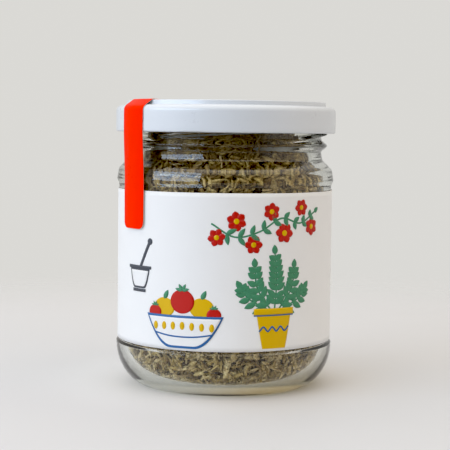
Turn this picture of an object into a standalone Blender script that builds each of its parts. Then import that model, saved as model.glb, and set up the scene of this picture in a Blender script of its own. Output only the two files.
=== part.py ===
"""A sealed glass jar of dried thyme: jar, contents, paper label, twist-off lid with its gasket, seal strip.

Metres, +Z up. The origin is the centre of the base, on the surface that the jar stands on. The front is -Y.
Azimuths are in degrees from the front, anticlockwise as seen from above, so +90 is +X. Profiles are lists of
(radius, height) points.
"""

import math
import random

import bmesh
import bpy
from mathutils import Matrix, Vector

MM = 0.001
FULL_TURN = 360.0

# General
SEGMENTS = 48
SHARP_ANGLE = math.radians(30)
GAP = 0.3 * MM

# The jar's wall
WALL = 2.0 * MM
BODY_RADIUS = 34.05 * MM
PANEL_RADIUS = 33.2 * MM
PANEL_BOTTOM = 13.9 * MM
PANEL_TOP = 62.0 * MM
LOWER_STEP = 0.6 * MM
HEEL_CENTRE = (22.5 * MM, 13.0 * MM)
HEEL_HEIGHT = 14.0 * MM
BEARING_INNER_RADIUS = 23.6 * MM
PUSH_UP = 1.6 * MM
INNER_HEEL = (10.0 * MM, 11.6 * MM)
FLOOR_EDGE = 2.2 * MM
FLOOR_RISE = 1.4 * MM

# The jar's shoulder, neck and mouth. The shoulder's points run from the panel over the crest to the neck
SHOULDER = (
    (33.5 * MM, 62.9 * MM),
    (33.95 * MM, 63.9 * MM),
    (34.05 * MM, 64.5 * MM),
    (33.95 * MM, 65.2 * MM),
    (33.62 * MM, 67.3 * MM),
    (33.3 * MM, 68.0 * MM),
    (31.2 * MM, 70.1 * MM),
    (30.55 * MM, 71.0 * MM),
    (30.38 * MM, 72.0 * MM),
    (30.15 * MM, 73.6 * MM),
)
CREST_HEIGHT = 64.5 * MM
INNER_SHOULDER_START = 65.0 * MM
INNER_SHOULDER_ROUNDING = 2.0 * MM
INNER_SHOULDER_LEAN = 55.0
NECK_RADIUS = 30.1 * MM
MOUTH_RADIUS = 27.6 * MM
LIP_TOP = 87.0 * MM
BEAD_HEIGHT = 75.2 * MM
BEAD_REACH = 1.8 * MM
BEAD_HALF_HEIGHT = 1.5 * MM

# The thread: four starts, each a ridge that one lug slides under
STARTS = 4
LEAD = 12.0 * MM
FIRST_LUG_AZIMUTH = 73.0
RIDGE_REACH = 1.8 * MM
RIDGE_SUNK = 0.6 * MM
RIDGE_UNDERSIDE = 80.9 * MM
RIDGE_CREST_HEIGHT = 1.0 * MM
RIDGE_ROOT_HEIGHT = 2.0 * MM
RIDGE_START = -9.0
RIDGE_END = 57.0
RIDGE_STEPS = 16
RIDGE_TAPER = 5.0
RUNOUT_END = -31.0
RUNOUT_UNDERSIDE = 76.0 * MM

# The lid
LID_RADIUS = 34.5 * MM
LID_BOTTOM = 79.0 * MM
LID_TOP = 88.7 * MM
SHEET = 0.4 * MM
RIM_OUTER_RADIUS = 31.3 * MM
RIM_INNER_RADIUS = 25.4 * MM
RIM_SLOPE = 0.8 * MM
RIM_CHAMFER = 0.45 * MM
CENTRE_DROP = 0.5 * MM
BUTTON_RADIUS = 9.0 * MM
BUTTON_SLOPE = 1.2 * MM
BUTTON_DROP = 0.3 * MM
LEDGE_DROP = 1.5 * MM
LID_ROUNDING = 1.8 * MM
CURL = 1.3 * MM
LUG_WIDTH = 12.0
LUG_INNER_RADIUS = 30.9 * MM
LUG_TIP_SETBACK = 0.7 * MM
LUG_RAISED = 0.15 * MM
GASKET_THICKNESS = 0.7 * MM
GASKET_INNER_RADIUS = 27.2 * MM
GASKET_OUTER_RADIUS = 30.2 * MM

# The paper pieces
LABEL_BOTTOM = 14.6 * MM
LABEL_TOP = 61.4 * MM
LABEL_THICKNESS = 0.25 * MM
LABEL_OPEN_ANGLE = 8.0
STRIP_WIDTH = 10.7 * MM
STRIP_THICKNESS = 0.35 * MM
STRIP_AZIMUTH = -54.3
STRIP_LOWER_END = 49.8 * MM
STRIP_INNER_END = 5.0 * MM
STRIP_CORNER = 2.2 * MM
STRIP_COLUMNS = 4

# The contents: a core that leaf flakes, larger than life, stand out of
FILL_TOP = 80.3 * MM
FILL_DROP = 7.0 * MM
FILL_SLOPE_START = 4.0 * MM
FILL_SLOPE_LENGTH = 30.0 * MM
FILL_DOWNHILL = (0.93, -0.37)
FILL_CLEARANCE = 0.35 * MM
HEAP_FLANK = ((31.2 * MM, 64.8 * MM), (26.3 * MM, 70.5 * MM), (24.2 * MM, 80.0 * MM))
CORE_SEGMENTS = 32
CORE_INSET = 1.3 * MM
FLAKE_LENGTH = 9.0 * MM
FLAKE_WIDTH = 3.8 * MM
FLAKE_DEPTH = 2.9 * MM
FLAKE_SUNK = 0.2 * MM
FLAKE_PITCH = 7.4 * MM
HIDDEN_PITCH = 11.0 * MM
ROW_SPACING = 0.87
FLAKE_EDGE_MARGIN = 1.5 * MM
SIDE_TILT = 0.1
TOP_TILT = 0.35
FLAKE_SEED = 12

# Colour and roughness of each material
MATERIALS = {
    "clear_glass": ((0.93, 0.96, 0.94), 0.03),
    "white_enamel": ((0.86, 0.88, 0.9), 0.25),
    "sealing_compound": ((0.75, 0.74, 0.7), 0.6),
    "white_paper": ((0.88, 0.88, 0.88), 0.55),
    "red_paper": ((0.9, 0.06, 0.01), 0.45),
    "dried_leaf": ((0.3, 0.25, 0.13), 0.85),
}


def clear_scene():
    for obj in list(bpy.data.objects):
        bpy.data.objects.remove(obj)


def material(name):
    """The named Principled material, made the first time that it is asked for."""
    found = bpy.data.materials.get(name)
    if found:
        return found
    colour, roughness = MATERIALS[name]
    made = bpy.data.materials.new(name)
    made.use_nodes = True
    shader = made.node_tree.nodes["Principled BSDF"]
    shader.inputs["Base Color"].default_value = (*colour, 1.0)
    shader.inputs["Roughness"].default_value = roughness
    shader.inputs["Metallic"].default_value = 0.0
    return made


def shade(mesh):
    """Smooth shading, with sharp edges where faces meet at more than the sharp angle."""
    mesh.shade_smooth()
    mesh.set_sharp_from_angle(angle=SHARP_ANGLE)


def object_from(bm, name, material_name):
    """A named, shaded object from a bmesh, in the scene."""
    mesh = bpy.data.meshes.new(name)
    bm.to_mesh(mesh)
    bm.free()
    mesh.materials.append(material(material_name))
    shade(mesh)
    obj = bpy.data.objects.new(name, mesh)
    bpy.context.scene.collection.objects.link(obj)
    return obj


def join_by_union(obj, parts, solver="EXACT"):
    """Joins the parts to the object with one Boolean union, applies it and removes the parts."""
    group = bpy.data.collections.new(obj.name + "_joined")
    bpy.context.scene.collection.children.link(group)
    for part in parts:
        bpy.context.scene.collection.objects.unlink(part)
        group.objects.link(part)
    union = obj.modifiers.new("union", "BOOLEAN")
    union.operation = "UNION"
    union.operand_type = "COLLECTION"
    union.collection = group
    union.solver = solver
    bpy.context.view_layer.update()
    graph = bpy.context.evaluated_depsgraph_get()
    joined = bpy.data.meshes.new_from_object(obj.evaluated_get(graph))
    obj.modifiers.clear()
    obj.data = joined
    shade(joined)
    for part in list(group.objects):
        bpy.data.objects.remove(part)
    bpy.data.collections.remove(group)


def at(azimuth, radius, height):
    """The point at an azimuth, a radius and a height."""
    turn = math.radians(azimuth)
    return Vector((radius * math.sin(turn), -radius * math.cos(turn), height))


def arc(centre, radii, start, end, steps):
    """Points of an elliptical arc in the (radius, height) plane, angles in degrees, both ends included."""
    turns = [math.radians(start + (end - start) * i / steps) for i in range(steps + 1)]
    return [(centre[0] + radii[0] * math.cos(t), centre[1] + radii[1] * math.sin(t)) for t in turns]


def path_lengths(path):
    """The distance along a path at each of its points."""
    lengths = [0.0]
    for first, second in zip(path, path[1:]):
        lengths.append(lengths[-1] + math.dist(first, second))
    return lengths


def along_path(path, distance):
    """The point at a distance along a path, and the direction to its right there."""
    for (r0, z0), (r1, z1) in zip(path, path[1:]):
        length = math.dist((r0, z0), (r1, z1))
        if distance <= length:
            share = distance / length
            return r0 + (r1 - r0) * share, z0 + (z1 - z0) * share, ((z1 - z0) / length, (r0 - r1) / length)
        distance -= length
    return *path[-1], (1.0, 0.0)


def turned(profile, closed=True, segments=SEGMENTS):
    """A bmesh turned from a profile, which starts and ends on the axis unless it is closed."""
    bm = bmesh.new()
    verts = [bm.verts.new((radius, 0.0, height)) for radius, height in profile]
    edges = [bm.edges.new(pair) for pair in zip(verts, verts[1:])]
    if closed:
        edges.append(bm.edges.new((verts[-1], verts[0])))
    bmesh.ops.spin(
        bm, geom=verts + edges, axis=(0, 0, 1), cent=(0, 0, 0), angle=math.tau, steps=segments, use_merge=True
    )
    bmesh.ops.remove_doubles(bm, verts=bm.verts, dist=0.001 * MM)
    bmesh.ops.recalc_face_normals(bm, faces=bm.faces)
    return bm


def through_sections(sections):
    """A closed bmesh through sections of as many points each, with both ends capped."""
    bm = bmesh.new()
    rings = [[bm.verts.new(point) for point in section] for section in sections]
    count = len(rings[0])
    for first, second in zip(rings, rings[1:]):
        for i in range(count):
            j = (i + 1) % count
            bm.faces.new((first[i], first[j], second[j], second[i]))
    bm.faces.new(rings[0])
    bm.faces.new(rings[-1])
    bmesh.ops.recalc_face_normals(bm, faces=bm.faces)
    return bm


def sheet_from_grid(name, grid, thickness, material_name):
    """A thin solid on a grid of points, thickened on the side that its faces look to."""
    bm = bmesh.new()
    rows = [[bm.verts.new(point) for point in row] for row in grid]
    for first, second in zip(rows, rows[1:]):
        for i in range(len(first) - 1):
            bm.faces.new((first[i], first[i + 1], second[i + 1], second[i]))
    obj = object_from(bm, name, material_name)
    solidify = obj.modifiers.new("paper", "SOLIDIFY")
    solidify.thickness = thickness
    solidify.offset = 1.0
    solidify.use_even_offset = True
    return obj


def inner_shoulder(radius):
    """The shoulder's inside: it rounds inwards by its lean, then hollows until it meets the mouth upright."""
    rounding, lean = INNER_SHOULDER_ROUNDING, INNER_SHOULDER_LEAN
    rounded = arc((radius - rounding, INNER_SHOULDER_START), (rounding, rounding), 0, lean, 2)
    end_radius, end_height = rounded[-1]
    hollow = (end_radius - MOUTH_RADIUS) / (1 - math.cos(math.radians(lean)))
    centre = (MOUTH_RADIUS + hollow, end_height + hollow * math.sin(math.radians(lean)))
    return rounded + arc(centre, (hollow, hollow), 180 + lean, 180, 2)[1:]


def jar_outside():
    """The outside of the jar, from the middle of the push-up to the top of the bead."""
    push_up = [(BEARING_INNER_RADIUS * share, PUSH_UP * (1 - share**2)) for share in (0, 0.6, 1)]
    heel_radii = (BODY_RADIUS - HEEL_CENTRE[0], HEEL_HEIGHT)
    foot = -math.degrees(math.asin(HEEL_CENTRE[1] / HEEL_HEIGHT))
    heel = arc(HEEL_CENTRE, heel_radii, foot, 0, 5)
    lower_bumper = [(BODY_RADIUS, PANEL_BOTTOM - LOWER_STEP), (PANEL_RADIUS, PANEL_BOTTOM)]
    bead = arc((NECK_RADIUS, BEAD_HEIGHT), (BEAD_REACH, BEAD_HALF_HEIGHT), -90, 90, 4)
    return push_up + heel + lower_bumper + [(PANEL_RADIUS, PANEL_TOP), *SHOULDER] + bead


def jar_lip():
    """The rounded lip, from the outside of the neck to the mouth."""
    half_width = (NECK_RADIUS - MOUTH_RADIUS) / 2
    centre = (MOUTH_RADIUS + half_width, LIP_TOP - half_width)
    return arc(centre, (half_width, half_width), 0, 180, 4)


def jar_inside():
    """The inside of the jar, from the middle of the floor up to the mouth."""
    radius = PANEL_RADIUS - WALL
    heel_centre = (radius - INNER_HEEL[0], FLOOR_EDGE + INNER_HEEL[1])
    floor = [(heel_centre[0] * share, FLOOR_EDGE + FLOOR_RISE * (1 - share**2)) for share in (0, 0.6)]
    heel = arc(heel_centre, INNER_HEEL, -90, 0, 4)
    return floor + heel + inner_shoulder(radius)


def lug_azimuths():
    """Where the lid's lugs stand when it is closed."""
    return [FIRST_LUG_AZIMUTH + FULL_TURN * i / STARTS for i in range(STARTS)]


def thread_ridge(lug_azimuth):
    """One ridge. Its underside follows the helix above the lug, then runs down into the bead as a stop."""
    sections = []
    for i in range(RIDGE_STEPS + 1):
        turn = RUNOUT_END + (RIDGE_END - RUNOUT_END) * i / RIDGE_STEPS
        underside = RIDGE_UNDERSIDE + LEAD * max(turn, RIDGE_START) / FULL_TURN
        if turn < RIDGE_START:
            share = (RIDGE_START - turn) / (RIDGE_START - RUNOUT_END)
            underside += (RUNOUT_UNDERSIDE - underside) * share
        reach = min(1.0, (RIDGE_END - turn) / RIDGE_TAPER, (turn - RUNOUT_END) / RIDGE_TAPER)
        root = NECK_RADIUS - RIDGE_SUNK
        crest = NECK_RADIUS - RIDGE_SUNK / 2 + (RIDGE_REACH + RIDGE_SUNK / 2) * reach
        azimuth = lug_azimuth + turn
        sections.append([
            at(azimuth, root, underside),
            at(azimuth, crest, underside),
            at(azimuth, crest, underside + RIDGE_CREST_HEIGHT),
            at(azimuth, root, underside + RIDGE_ROOT_HEIGHT),
        ])
    return object_from(through_sections(sections), "ridge", "clear_glass")


def build_glass_jar():
    profile = jar_outside() + jar_lip() + jar_inside()[::-1]
    jar = object_from(turned(profile, closed=False), "glass_jar", "clear_glass")
    join_by_union(jar, [thread_ridge(azimuth) for azimuth in lug_azimuths()])


def lid_skin(inset):
    """The lid's skin from its middle to its skirt: the upper face, or the underside at that inset."""
    rim_top = LID_TOP - inset
    centre_top = rim_top - CENTRE_DROP
    ledge = LID_TOP - LEDGE_DROP - inset
    rim_outer = RIM_OUTER_RADIUS - inset
    rounding = LID_ROUNDING - inset
    rounding_centre = (LID_RADIUS - LID_ROUNDING, LID_TOP - LEDGE_DROP - LID_ROUNDING)
    button_top = centre_top - BUTTON_DROP
    middle = [(0.0, button_top), (BUTTON_RADIUS, button_top), (BUTTON_RADIUS + BUTTON_SLOPE, centre_top)]
    rim = [
        (RIM_INNER_RADIUS - RIM_SLOPE, centre_top),
        (RIM_INNER_RADIUS, rim_top),
        (rim_outer - RIM_CHAMFER, rim_top),
        (rim_outer, rim_top - RIM_CHAMFER),
        (rim_outer, ledge),
    ]
    return middle + rim + arc(rounding_centre, (rounding, rounding), 90, 0, 3)


def lug(azimuth):
    """One lug, pressed inwards out of the rolled edge, with its tip's corners cut back."""
    bottom = LID_BOTTOM + LUG_RAISED
    outer = LID_RADIUS - SHEET
    sections = []
    for side in (-1, -0.5, 0.5, 1):
        turn = azimuth + side * LUG_WIDTH / 2
        inner = LUG_INNER_RADIUS + (LUG_TIP_SETBACK if abs(side) == 1 else 0.0)
        sections.append([
            at(turn, inner, bottom),
            at(turn, outer, bottom),
            at(turn, outer, bottom + CURL),
            at(turn, inner, bottom + CURL),
        ])
    return object_from(through_sections(sections), "lug", "white_enamel")


def build_lid_shell():
    roll = CURL / 2
    roll_centre = (LID_RADIUS - roll, LID_BOTTOM + roll)
    curl = arc(roll_centre, (roll, roll), 0, -180, 4)
    curl.append((roll_centre[0] - roll, roll_centre[1] + roll))
    curl.append((LID_RADIUS - SHEET, LID_BOTTOM + CURL + SHEET))
    profile = lid_skin(0) + curl + lid_skin(SHEET)[::-1]
    lid = object_from(turned(profile, closed=False), "lid_shell", "white_enamel")
    join_by_union(lid, [lug(azimuth) for azimuth in lug_azimuths()])


def build_lid_gasket():
    top = LID_TOP - SHEET - GAP
    bottom = top - GASKET_THICKNESS
    profile = [
        (GASKET_INNER_RADIUS, top),
        (GASKET_INNER_RADIUS, bottom),
        (GASKET_OUTER_RADIUS, bottom),
        (GASKET_OUTER_RADIUS, top - RIM_CHAMFER),
        (GASKET_OUTER_RADIUS - RIM_CHAMFER, top),
    ]
    object_from(turned(profile), "lid_gasket", "sealing_compound")


def build_label():
    radius = PANEL_RADIUS + GAP
    half = (FULL_TURN - LABEL_OPEN_ANGLE) / 2
    azimuths = [-half + 2 * half * i / SEGMENTS for i in range(SEGMENTS + 1)]
    grid = [[at(azimuth, radius, height) for azimuth in azimuths] for height in (LABEL_BOTTOM, LABEL_TOP)]
    sheet_from_grid("label", grid, LABEL_THICKNESS, "white_paper")


def strip_path():
    """The strip's inner face in profile, from its end on the lid over the edge to its end on the label."""
    on_rim = LID_TOP + GAP
    on_centre = on_rim - CENTRE_DROP
    side = LID_RADIUS + GAP
    rounding = LID_ROUNDING + GAP
    rounding_centre = (side - rounding, LID_TOP - LEDGE_DROP - LID_ROUNDING)
    on_bumper = BODY_RADIUS + GAP
    on_top = [
        (STRIP_INNER_END, on_centre),
        (RIM_INNER_RADIUS - RIM_SLOPE - 3 * GAP, on_centre),
        (RIM_INNER_RADIUS, on_rim),
        (RIM_OUTER_RADIUS - RIM_CHAMFER, on_rim),
        (RIM_OUTER_RADIUS + RIM_CHAMFER, on_rim - RIM_CHAMFER),
    ]
    down = [(side, LID_BOTTOM + RIM_CHAMFER), (on_bumper, CREST_HEIGHT), (on_bumper, STRIP_LOWER_END)]
    return on_top + arc(rounding_centre, (rounding, rounding), 48, 0, 2) + down


def half_width_at(distance):
    """Half the strip's width at a distance from one of its ends, which have rounded corners."""
    inside = min(distance, STRIP_CORNER)
    return STRIP_WIDTH / 2 - STRIP_CORNER + math.sqrt(STRIP_CORNER**2 - (STRIP_CORNER - inside) ** 2)


def build_seal_strip():
    path = strip_path()
    bends = path_lengths(path)
    total = bends[-1]
    corner_rows = [STRIP_CORNER * share for share in (0, 0.1, 0.4, 1)]
    distances = sorted(corner_rows + bends[1:-1] + [total - row for row in corner_rows])
    side = LID_RADIUS + GAP
    turn = Matrix.Rotation(math.radians(STRIP_AZIMUTH), 3, "Z")
    grid = []
    for distance in distances:
        radius, height, _ = along_path(path, distance)
        half = half_width_at(min(distance, total - distance))
        row = []
        for i in range(STRIP_COLUMNS + 1):
            offset = half * (2 * i / STRIP_COLUMNS - 1)
            sag = side - math.sqrt(side**2 - offset**2)
            row.append(turn @ Vector((offset, -(radius - sag), height)))
        grid.append(row)
    sheet_from_grid("seal_strip", grid[::-1], STRIP_THICKNESS, "red_paper")


def fill_height(x, y):
    """The height of the herb's top, which falls away towards +X and the front."""
    downhill = x * FILL_DOWNHILL[0] + y * FILL_DOWNHILL[1]
    share = min(1.0, max(0.0, (downhill - FILL_SLOPE_START) / FILL_SLOPE_LENGTH))
    return FILL_TOP - FILL_DROP * share**2 * (3 - 2 * share)


def fill_outline(inset):
    """The inside of the jar, then the heap's flank, moved inwards, from the middle of the floor to the top."""
    inside = [point for point in jar_inside() if point[1] < HEAP_FLANK[0][1]] + list(HEAP_FLANK)
    points = []
    for before, here, after in zip(inside[:1] + inside, inside, inside[1:] + inside[-1:]):
        along = Vector((after[0] - before[0], after[1] - before[1])).normalized()
        points.append((max(0.0, here[0] - along.y * inset), here[1] + along.x * inset))
    points[0] = (0.0, points[0][1])
    return points


def radius_at(wall, height):
    """The radius of the wall's outline at a height."""
    for (r0, z0), (r1, z1) in zip(wall, wall[1:]):
        if z0 <= height < z1:
            return r0 + (r1 - r0) * (height - z0) / (z1 - z0)
    return wall[-1][0]


def flake(wall, centre, normal, tilt, rng):
    """A dried leaf, pointed and ridged on both faces, kept inside the wall's outline."""
    size = rng.uniform(0.8, 1.15)
    spin = rng.uniform(0, math.tau)
    scale = Vector((FLAKE_LENGTH * size, FLAKE_WIDTH * size, FLAKE_DEPTH))
    turn = normal.to_track_quat("Z", "X").to_matrix()
    turn = turn @ Matrix.Rotation(spin, 3, "Z") @ Matrix.Rotation(tilt, 3, "Y")
    bm = bmesh.new()
    verts = []
    for corner in [(-0.5, 0, 0), (0, -0.5, 0), (0.5, 0, 0.12), (0, 0.5, 0), (0.08, 0, 0.5), (0, 0, -0.5)]:
        point = centre + turn @ (Vector(corner) * scale)
        point.z = max(point.z, wall[0][1])
        inwards = min(1.0, radius_at(wall, point.z) / math.hypot(point.x, point.y))
        verts.append(bm.verts.new((point.x * inwards, point.y * inwards, point.z)))
    for i in range(4):
        j = (i + 1) % 4
        bm.faces.new((verts[i], verts[j], verts[4]))
        bm.faces.new((verts[j], verts[i], verts[5]))
    return object_from(bm, "flake", "dried_leaf")


def side_flakes(wall, rng):
    """Flakes in staggered rows up the side, closer together where the label leaves them in view."""
    flakes = []
    total = path_lengths(wall)[-1]
    distance = 0.3 * FLAKE_PITCH
    odd_row = False
    while distance < total:
        radius, height, outward = along_path(wall, distance)
        hidden = LABEL_BOTTOM + FLAKE_PITCH < height < LABEL_TOP - FLAKE_PITCH
        pitch = HIDDEN_PITCH if hidden else FLAKE_PITCH
        count = round(math.tau * radius / pitch)
        for i in range(count):
            azimuth = FULL_TURN * (i + 0.5 * odd_row + rng.uniform(-0.25, 0.25)) / count
            normal = at(azimuth, *outward)
            centre = at(azimuth, radius, height) - normal * (CORE_INSET + FLAKE_SUNK)
            if centre.z < fill_height(centre.x, centre.y) - FLAKE_EDGE_MARGIN:
                flakes.append(flake(wall, centre, normal, rng.uniform(-SIDE_TILT, SIDE_TILT), rng))
        distance += ROW_SPACING * pitch
        odd_row = not odd_row
    return flakes


def top_flakes(wall, rng):
    """Flakes in rings on the herb's top."""
    flakes = []
    radius = 0.5 * HIDDEN_PITCH
    while radius < HEAP_FLANK[-1][0] - 0.4 * HIDDEN_PITCH:
        count = round(math.tau * radius / HIDDEN_PITCH)
        for i in range(count):
            centre = at(FULL_TURN * (i + rng.uniform(-0.3, 0.3)) / count, radius, 0)
            centre.z = fill_height(centre.x, centre.y) - CORE_INSET
            flakes.append(flake(wall, centre, Vector((0.1, 0, 1)), rng.uniform(-TOP_TILT, TOP_TILT), rng))
        radius += HIDDEN_PITCH
    return flakes


def build_dried_thyme():
    rng = random.Random(FLAKE_SEED)
    outline = fill_outline(FILL_CLEARANCE)
    lowest = min(range(len(outline)), key=lambda i: outline[i][1])
    wall = outline[lowest:]
    core_outline = fill_outline(FILL_CLEARANCE + CORE_INSET)
    bm = turned(core_outline + [(0.0, FILL_TOP - CORE_INSET)], closed=False, segments=CORE_SEGMENTS)
    for vert in bm.verts:
        if vert.co.z > CREST_HEIGHT:
            share = (vert.co.z - CREST_HEIGHT) / (FILL_TOP - CREST_HEIGHT)
            vert.co.z += (fill_height(vert.co.x, vert.co.y) - FILL_TOP) * share
    core = object_from(bm, "dried_thyme", "dried_leaf")
    join_by_union(core, side_flakes(wall, rng) + top_flakes(wall, rng), solver="MANIFOLD")


def main():
    clear_scene()
    build_glass_jar()
    build_dried_thyme()
    build_label()
    build_lid_shell()
    build_lid_gasket()
    build_seal_strip()


main()
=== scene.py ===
"""Looks for a sealed glass jar of dried thyme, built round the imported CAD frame.

Shapes are in millimetres until they become meshes; lights, camera and settings are in metres. +Z is up and
the front is -Y. Azimuths are in degrees from the front, anticlockwise from above, so +90 is +X. Profiles are
arrays of (radius, height) rows. Faces look outwards when columns run anticlockwise and rows run up.
"""

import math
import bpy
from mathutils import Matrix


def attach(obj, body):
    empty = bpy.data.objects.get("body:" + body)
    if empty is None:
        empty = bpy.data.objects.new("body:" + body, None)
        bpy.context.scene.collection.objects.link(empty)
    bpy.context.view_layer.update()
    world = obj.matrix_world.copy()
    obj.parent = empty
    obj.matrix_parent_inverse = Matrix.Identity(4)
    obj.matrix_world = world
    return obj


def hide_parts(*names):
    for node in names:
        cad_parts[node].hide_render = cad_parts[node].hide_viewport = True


bl_info = {
    "name": "Jar of dried thyme",
    "version": (1, 0, 0),
    "blender": (4, 5, 0),
    "location": "3D View > Sidebar > Thyme jar",
    "description": "Glass, herb, label, lid, seal strip and stage for a jar of dried thyme",
    "category": "Object",
}

import bpy
import numpy as np
from bpy.props import FloatProperty, FloatVectorProperty, IntProperty, PointerProperty
from bpy.types import Operator, Panel, PropertyGroup
from mathutils import Vector

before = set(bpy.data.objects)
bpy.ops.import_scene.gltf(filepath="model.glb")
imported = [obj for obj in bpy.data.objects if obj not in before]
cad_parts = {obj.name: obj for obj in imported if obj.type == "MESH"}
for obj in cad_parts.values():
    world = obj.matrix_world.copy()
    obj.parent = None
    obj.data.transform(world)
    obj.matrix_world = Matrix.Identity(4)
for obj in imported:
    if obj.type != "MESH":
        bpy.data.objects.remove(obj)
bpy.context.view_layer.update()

MM = 0.001

# The jar's wall
BODY_RADIUS = 34.05
PANEL_RADIUS = 33.4
PANEL_BOTTOM = 13.9
PANEL_TOP = 62.0
HEEL_CENTRE = (22.5, 13.0)
HEEL_HEIGHT = 14.0
BEARING_INNER_RADIUS = 23.6
PUSH_UP = 1.6
INNER_RADIUS = 31.2
INNER_HEEL = (10.0, 11.6)
INNER_SHOULDER = (66.6, 70.2)
FLOOR_EDGE = 2.2
FLOOR_RISE = 1.4
CREST_HEIGHT = 64.4
SHOULDER = ((33.5, 62.9, 0.6), (34.1, 64.4, 0.9), (33.55, 67.7, 2.0), (30.45, 70.8, 1.8), (30.1, 73.0, 0))
NECK_RADIUS = 30.1
MOUTH_RADIUS = 27.6
LIP_TOP = 87.0
BEAD_HEIGHT = 75.2
BEAD_REACH = 1.8
BEAD_HALF_HEIGHT = 2.1
NECK_ROW = 0.2
GLASS_DENSITY = 40.0

# The thread ridges and the lugs that slide under them
STARTS = 4
LEAD = 12.0
FIRST_LUG_AZIMUTH = 73.0
RIDGE_REACH = 1.8
RIDGE_HALF_HEIGHT = 0.65
RIDGE_FLANK = 0.5
RIDGE_UNDERSIDE = 80.8
RIDGE_SPAN = (-116.0, 57.0)
RIDGE_TAPER = 9.0

# The lid
LID_RADIUS = 34.5
LID_BOTTOM = 79.0
LID_TOP = 88.7
SHEET = 0.25
RIM_OUTER_RADIUS = 31.3
RIM_INNER_RADIUS = 25.4
RIM_DROP = 0.3
CENTRE_DROP = 0.5
BUTTON_RADIUS = 9.0
BUTTON_DROP = 0.3
LEDGE_DROP = 1.5
LID_ROUNDING = 1.8
CURL = 1.3
LUG_HALF_WIDTH = 6.6
LUG_FLANK = 1.4
LUG_REACH = 2.3

# The paper pieces
LABEL_BOTTOM = 14.6
LABEL_TOP = 61.4
LABEL_RADIUS = 33.75
LABEL_THICKNESS = 0.14
LABEL_OPEN_ANGLE = 8.0
INK_PITCH = 0.8
INK_LAYER = 0.03
INK_DEPTH = 0.02
STRIP_WIDTH = 10.7
STRIP_THICKNESS = 0.13
STRIP_AZIMUTH = -54.3
STRIP_LOWER_END = 49.8
STRIP_INNER_END = 5.0
STRIP_CORNER = 2.2
STRIP_SIDE = LID_RADIUS + 0.1

# The contents
FILL_TOP = 80.3
FILL_DROP = 7.0
FILL_SLOPE_START = 4.0
FILL_SLOPE_LENGTH = 30.0
FILL_DOWNHILL = (0.93, -0.37)
FILL_CLEARANCE = 0.12
HEAP_FLANK = ((31.2, 64.8, 2), (26.3, 70.5, 2), (24.2, 80.0, 2))

# The stage: the jar's foot on the floor, and the window, whose distance and size are in metres
FOOT_RADIUS = 24
FLOOR_COLUMNS = 96
FLOOR_RINGS = 24
WINDOW_AZIMUTH = -54
WINDOW_ELEVATION = 21
WINDOW_DISTANCE = 0.8
WINDOW_SIZE = (0.8, 0.24)
WINDOW_AIM = Vector((0, 0, 0.045))


def unit(vectors):
    """Vectors divided by their lengths."""
    return vectors / np.maximum(np.linalg.norm(vectors, axis=-1, keepdims=True), 1e-12)


def arc(centre, radii, start, end, steps):
    """Rows on an ellipse: centre plus radii times (cos, sin) of an angle that runs from start to end."""
    turns = np.radians(np.linspace(start, end, steps + 1))
    return np.array(centre) + np.array(radii) * np.column_stack((np.cos(turns), np.sin(turns)))


def rounded_path(corners, steps=6):
    """A path through corners given as (x, y, rounding). Each becomes an arc of that radius, tangent to both
    its sides, which starts rounding / tan(half the corner's angle) before the corner."""
    corners = np.array(corners, float)
    places = corners[:, :2]
    points = [places[:1]]
    for before, corner, after, rounding in zip(places, places[1:], places[2:], corners[1:, 2]):
        back, ahead = unit(before - corner), unit(after - corner)
        half_angle = math.acos(np.clip(back @ ahead, -1, 1)) / 2
        if rounding == 0 or half_angle > math.radians(89.9):
            points.append(corner[None])
            continue
        centre = corner + unit(back + ahead) * rounding / math.sin(half_angle)
        first, last = (
            math.degrees(math.atan2(*(corner + side * rounding / math.tan(half_angle) - centre)[::-1]))
            for side in (back, ahead)
        )
        sweep = (last - first + 180) % 360 - 180
        points.append(arc(centre, (rounding, rounding), first, first + sweep, steps))
    return np.concatenate((*points, places[-1:]))


def path_lengths(path):
    """The distance along a path at each of its points: the running sum of the lengths of its stretches."""
    return np.concatenate(([0.0], np.cumsum(np.linalg.norm(np.diff(path, axis=0), axis=1))))


def on_path(path, distance):
    """Points of a path at the given distances along it, by straight interpolation."""
    lengths = path_lengths(path)
    return np.column_stack([np.interp(distance, lengths, values) for values in path.T])


def finer(path, longest):
    """The same path with points added so that no stretch is longer than the given length."""
    lengths = path_lengths(path)
    stretches = [
        np.linspace(a, b, max(1, math.ceil((b - a) / longest)), endpoint=False)
        for a, b in zip(lengths, lengths[1:])
        if b > a
    ]
    return on_path(path, np.concatenate([*stretches, lengths[-1:]]))


def round_axis(azimuth, radius, height):
    """Points from cylinder coordinates: x = radius sin(azimuth), y = -radius cos(azimuth), z = height."""
    turn = np.radians(azimuth)
    return np.stack(np.broadcast_arrays(radius * np.sin(turn), -radius * np.cos(turn), height), axis=-1)


def smooth_step(value):
    """0 below 0, 1 above 1, and 3 v^2 - 2 v^3 between."""
    v = np.clip(value, 0, 1)
    return v * v * (3 - 2 * v)


def waves(u, v, seed, count=6, lowest=1, highest=4):
    """A smooth random relief over two angles: the mean of seeded sine waves of whole frequencies."""
    rng = np.random.default_rng(seed)
    total = 0.0
    for _ in range(count):
        along, across = rng.integers(lowest, highest + 1, 2)
        total = total + np.sin(along * u + across * v + rng.uniform(0, math.tau))
    return total / count


def grid_quads(rows, columns, wrap_rows=False, wrap_columns=False):
    """The corner numbers of the faces of a grid whose points are numbered row by row."""
    across = np.arange(columns if wrap_columns else columns - 1)
    row, column = np.meshgrid(np.arange(rows if wrap_rows else rows - 1), across, indexing="ij")
    up, right = (row + 1) % rows * columns, (column + 1) % columns
    row = row * columns
    return np.stack((row + column, row + right, up + right, up + column), axis=-1).reshape(-1, 4)


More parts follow.
